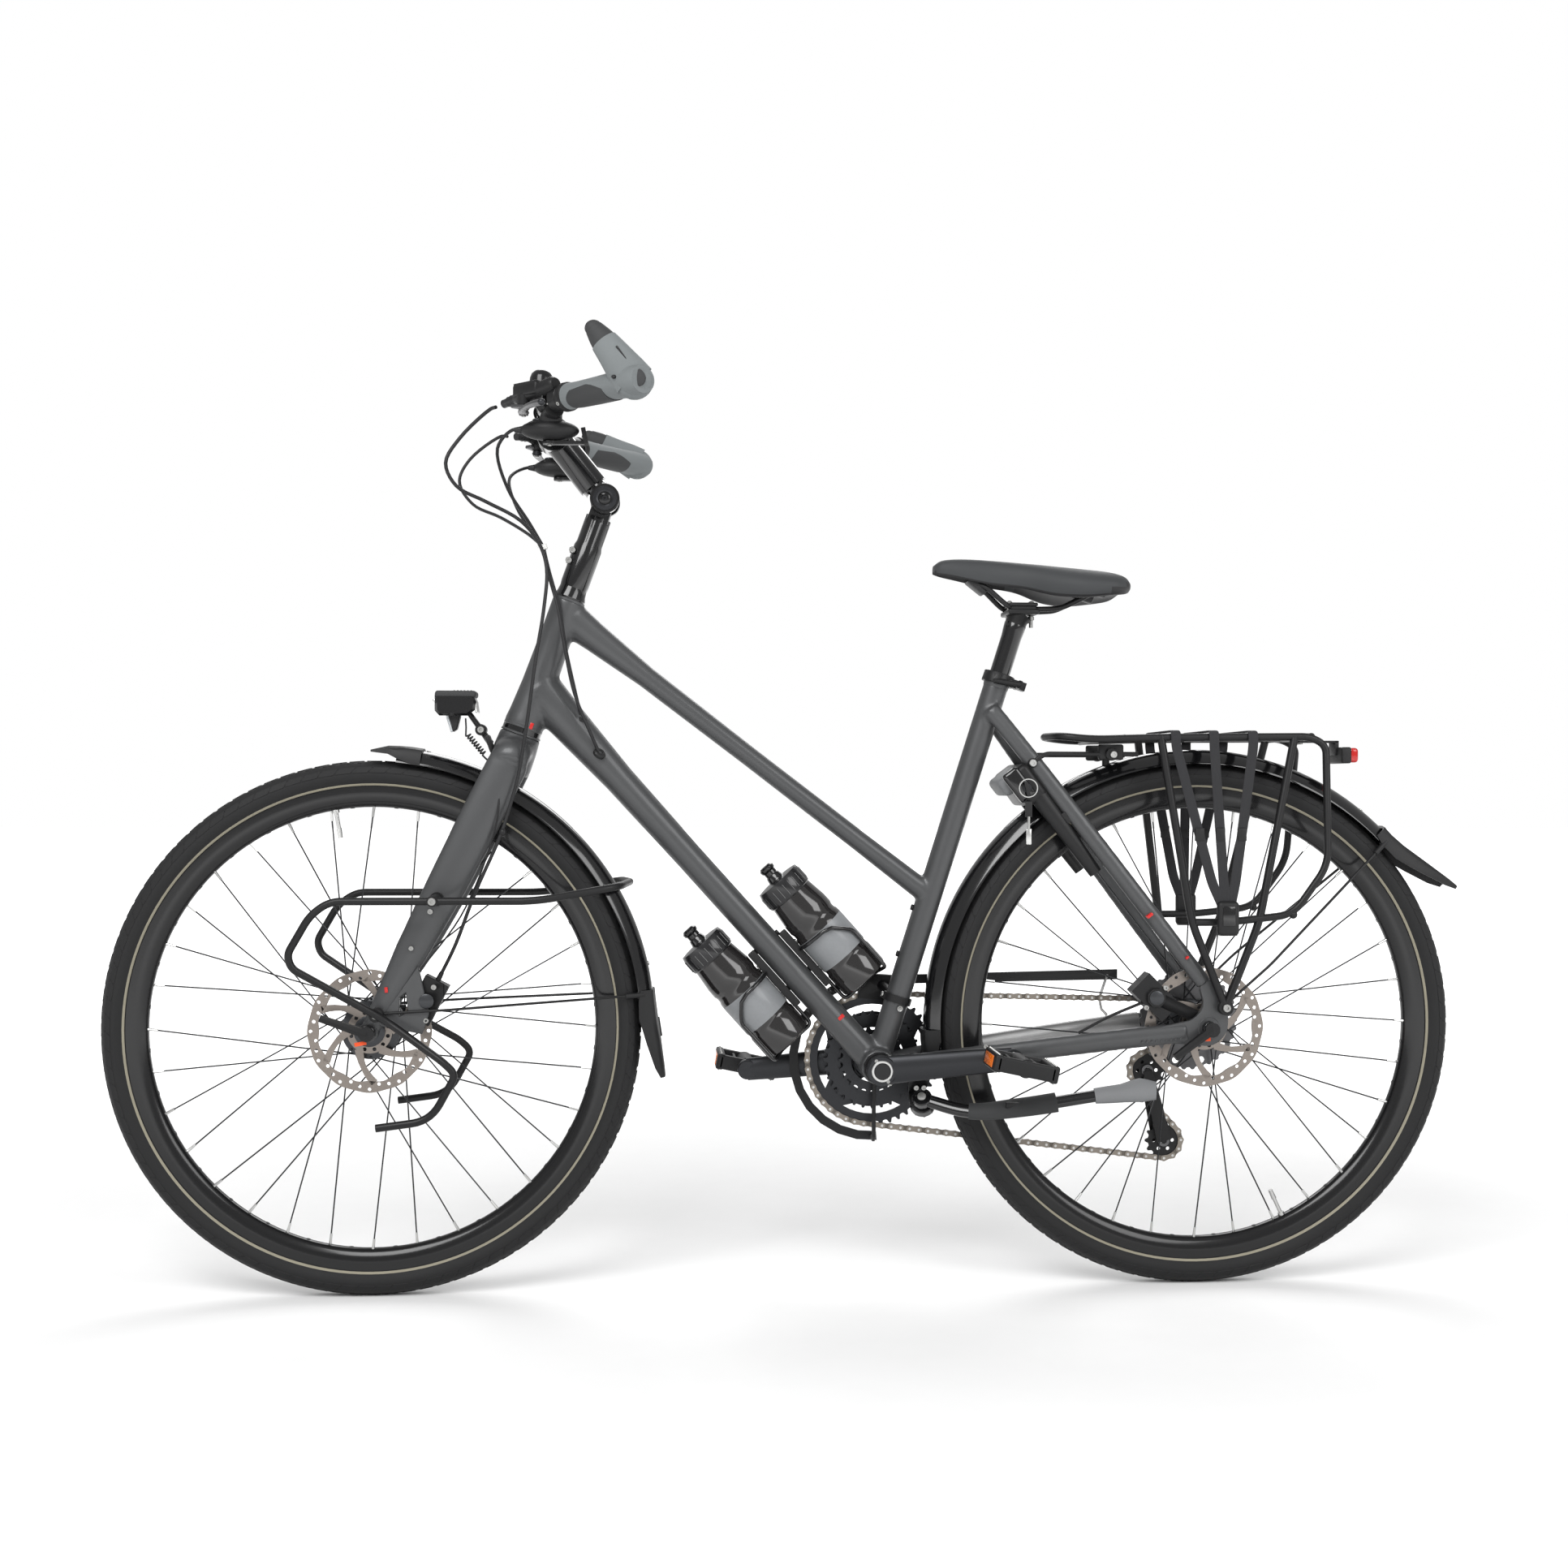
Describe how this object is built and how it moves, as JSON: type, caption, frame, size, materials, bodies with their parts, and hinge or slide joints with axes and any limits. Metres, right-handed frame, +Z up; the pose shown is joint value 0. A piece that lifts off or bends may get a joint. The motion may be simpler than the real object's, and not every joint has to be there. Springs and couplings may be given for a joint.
{
  "type": "bicycle",
  "caption": "Touring bicycle with rigid fork, mudguards, rear rack, low front pannier rack, lights, bottles, ring lock and folding side stand; wheels, steering, cranks and levers move.",
  "frame": {"origin": "on the floor, under the middle of the bicycle's box", "axes": "+X to the back of the bicycle, +Y to the rider's right, +Z up"},
  "size_m": [1.7962, 0.6324, 1.214],
  "materials": {
    "frame_paint": "matte, fine grain",
    "gloss_black": "gloss black lacquer",
    "black_parts": "satin black anodised",
    "tyre_rubber": "matte, treaded, pale stripe on the side",
    "rim_black": "gloss black anodised",
    "hub_dark": "dark grey anodised, black spokes",
    "rotor_steel": "brushed ring",
    "chain_steel": "nickel plated links",
    "drive_metal": "dark grey anodised, forged",
    "grip_rubber": "matte pale grey with dark ends",
    "saddle_cover": "matte soft cover",
    "bottle_plastic": "smoky see-through",
    "guard_plastic": "gloss black",
    "trim_plastic": "matte black",
    "strap_rubber": "matte black elastic band",
    "lens_red": "red lens in a black housing",
    "cable_cover": "matte black cover"
  },
  "bodies": {
    "frame": {"frame": "frame_paint", "headset": "gloss_black", "bottom_bracket": "black_parts", "seat_clamp": "gloss_black", "ring_lock": "trim_plastic", "rear_fender": "guard_plastic", "rear_rack": "black_parts", "rack_straps": "strap_rubber", "tail_light": "lens_red", "rear_caliper": "black_parts", "rear_derailleur": "black_parts", "chain": "chain_steel", "front_derailleur": "black_parts", "chain_guard": "trim_plastic", "kickstand_bracket": "trim_plastic", "upper_bottle_cage": "gloss_black", "lower_bottle_cage": "gloss_black", "rear_axle": "black_parts"},
    "steering": {"fork": "frame_paint", "front_axle": "black_parts", "front_fender": "guard_plastic", "lowrider_rack": "black_parts", "headlight": "trim_plastic", "front_caliper": "black_parts", "stem_lower": "gloss_black", "front_brake_hose": "cable_cover", "cable_loom": "cable_cover"},
    "bar": {"stem_upper": "gloss_black", "handlebar": "gloss_black", "left_grip": "grip_rubber", "right_grip": "grip_rubber", "left_controls": "black_parts", "right_controls": "black_parts", "bell": "gloss_black"},
    "front_wheel": {"front_tyre": "tyre_rubber", "front_rim": "rim_black", "front_hub": "hub_dark", "front_rotor": "rotor_steel"},
    "rear_wheel": {"rear_tyre": "tyre_rubber", "rear_rim": "rim_black", "rear_hub": "hub_dark", "rear_rotor": "rotor_steel"},
    "crank": {"crankset": "drive_metal", "left_crank_arm": "drive_metal"},
    "left_pedal": {"left_pedal": "trim_plastic"},
    "right_pedal": {"right_pedal": "trim_plastic"},
    "cassette": {"cassette": "drive_metal"},
    "guide_pulley": {"guide_pulley": "trim_plastic"},
    "tension_pulley": {"tension_pulley": "trim_plastic"},
    "kickstand": {"kickstand_leg": "drive_metal"},
    "seat": {"seatpost": "gloss_black", "saddle": "saddle_cover"},
    "seat_clamp_lever": {"seat_clamp_lever": "gloss_black"},
    "left_brake_lever": {"left_brake_lever": "drive_metal"},
    "right_brake_lever": {"right_brake_lever": "drive_metal"},
    "left_shift_lever": {"left_shift_lever": "trim_plastic"},
    "right_shift_lever": {"right_shift_lever": "trim_plastic"},
    "bell_striker": {"bell_striker": "trim_plastic"},
    "upper_bottle": {"upper_bottle": "bottle_plastic"},
    "lower_bottle": {"lower_bottle": "bottle_plastic"}
  },
  "joints": [
    {"name": "steering", "type": "hinge", "parent": "frame", "child": "steering", "pos_m": [-0.5019, 0, 0.33423], "axis": [0.3355, 0, 0.9421], "range_deg": [-60, 60], "deforming": ["cable_loom"]},
    {"name": "front_wheel_spin", "type": "hinge", "parent": "steering", "child": "front_wheel", "pos_m": [-0.549, 0, 0.351], "axis": [0, 1, 0], "continuous": true},
    {"name": "rear_wheel_spin", "type": "hinge", "parent": "frame", "child": "rear_wheel", "pos_m": [0.549, 0, 0.351], "axis": [0, 1, 0], "continuous": true},
    {"name": "crank_spin", "type": "hinge", "parent": "frame", "child": "crank", "pos_m": [0.11636, 0, 0.297], "axis": [0, 1, 0], "continuous": true},
    {"name": "left_pedal_spin", "type": "hinge", "parent": "crank", "child": "left_pedal", "pos_m": [0.28549, -0.081, 0.31418], "axis": [0, 1, 0], "continuous": true},
    {"name": "right_pedal_spin", "type": "hinge", "parent": "crank", "child": "right_pedal", "pos_m": [-0.05277, 0.081, 0.27982], "axis": [0, 1, 0], "continuous": true},
    {"name": "cassette_spin", "type": "hinge", "parent": "frame", "child": "cassette", "pos_m": [0.549, 0, 0.351], "axis": [0, 1, 0], "continuous": true},
    {"name": "guide_pulley_spin", "type": "hinge", "parent": "frame", "child": "guide_pulley", "pos_m": [0.499, 0, 0.278], "axis": [0, 1, 0], "continuous": true},
    {"name": "tension_pulley_spin", "type": "hinge", "parent": "frame", "child": "tension_pulley", "pos_m": [0.522, 0, 0.181], "axis": [0, 1, 0], "continuous": true},
    {"name": "kickstand_swing", "type": "hinge", "parent": "frame", "child": "kickstand", "pos_m": [0.17336, -0.036, 0.252], "axis": [0.1614, 0.768, -0.6198], "range_deg": [0, 103]},
    {"name": "seatpost_slide", "type": "slide", "parent": "frame", "child": "seat", "axis": [0.3024, 0, 0.9532], "range_m": [-0.07, 0.06]},
    {"name": "seat_clamp_swing", "type": "hinge", "parent": "frame", "child": "seat_clamp_lever", "pos_m": [0.30676, 0, 0.80626], "axis": [0, 1, 0], "range_deg": [0, 120]},
    {"name": "stem_angle", "type": "hinge", "parent": "steering", "child": "bar", "pos_m": [-0.24762, 0, 1.04831], "axis": [0, 1, 0], "range_deg": [-40, 10], "deforming": ["cable_loom", "front_brake_hose"]},
    {"name": "left_brake_pull", "type": "hinge", "parent": "bar", "child": "left_brake_lever", "pos_m": [-0.346, -0.146, 1.13521], "axis": [0, 0, 1], "range_deg": [0, 15], "stiffness_Nm_per_rad": 0.6},
    {"name": "right_brake_pull", "type": "hinge", "parent": "bar", "child": "right_brake_lever", "pos_m": [-0.346, 0.146, 1.13521], "axis": [0, 0, -1], "range_deg": [0, 15], "stiffness_Nm_per_rad": 0.6},
    {"name": "left_shift_push", "type": "hinge", "parent": "bar", "child": "left_shift_lever", "pos_m": [-0.31395, -0.14203, 1.099], "axis": [0, 0, 1], "range_deg": [0, 20], "stiffness_Nm_per_rad": 0.3},
    {"name": "right_shift_push", "type": "hinge", "parent": "bar", "child": "right_shift_lever", "pos_m": [-0.31395, 0.14203, 1.099], "axis": [0, 0, -1], "range_deg": [0, 20], "stiffness_Nm_per_rad": 0.3},
    {"name": "bell_strike", "type": "hinge", "parent": "bar", "child": "bell_striker", "pos_m": [-0.3077, -0.10433, 1.17468], "axis": [0, 1, 0], "range_deg": [-20, 0], "stiffness_Nm_per_rad": 0.05},
    {"name": "upper_bottle_pull", "type": "slide", "parent": "frame", "child": "upper_bottle", "axis": [-0.6701, 0, 0.7423], "range_m": [0, 0.16]},
    {"name": "lower_bottle_pull", "type": "slide", "parent": "frame", "child": "lower_bottle", "axis": [-0.6701, 0, 0.7423], "range_m": [0, 0.05]}
  ],
  "couplings": [
    {"joint": "cassette_spin", "follows": "crank_spin", "ratio": 3.6667},
    {"joint": "guide_pulley_spin", "follows": "crank_spin", "ratio": -3.6667},
    {"joint": "tension_pulley_spin", "follows": "crank_spin", "ratio": 3.6667}
  ]
}
